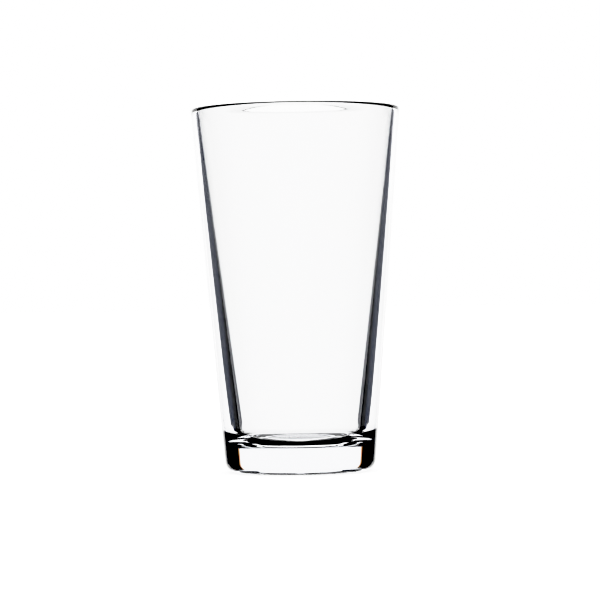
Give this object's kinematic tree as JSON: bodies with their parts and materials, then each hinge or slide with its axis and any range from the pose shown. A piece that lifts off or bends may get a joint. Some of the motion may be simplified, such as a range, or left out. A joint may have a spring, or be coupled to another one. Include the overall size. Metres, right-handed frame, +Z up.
{
  "type": "mixing glass",
  "caption": "Clear conical mixing glass with a rounded lip, a wall that thickens downwards and a thick solid base, for stirring or shaking drinks.",
  "frame": {"origin": "centre of the circle that the glass stands on", "axes": "+Z up along the axis of the glass, towards its open lip; +X and +Y are any two directions at right angles, because the glass is round"},
  "size_m": [0.088, 0.088, 0.1535],
  "materials": {
    "clear_glass": "fire-polished, smooth and clear"
  },
  "bodies": {
    "root": {"mixing_glass": "clear_glass"}
  },
  "joints": []
}
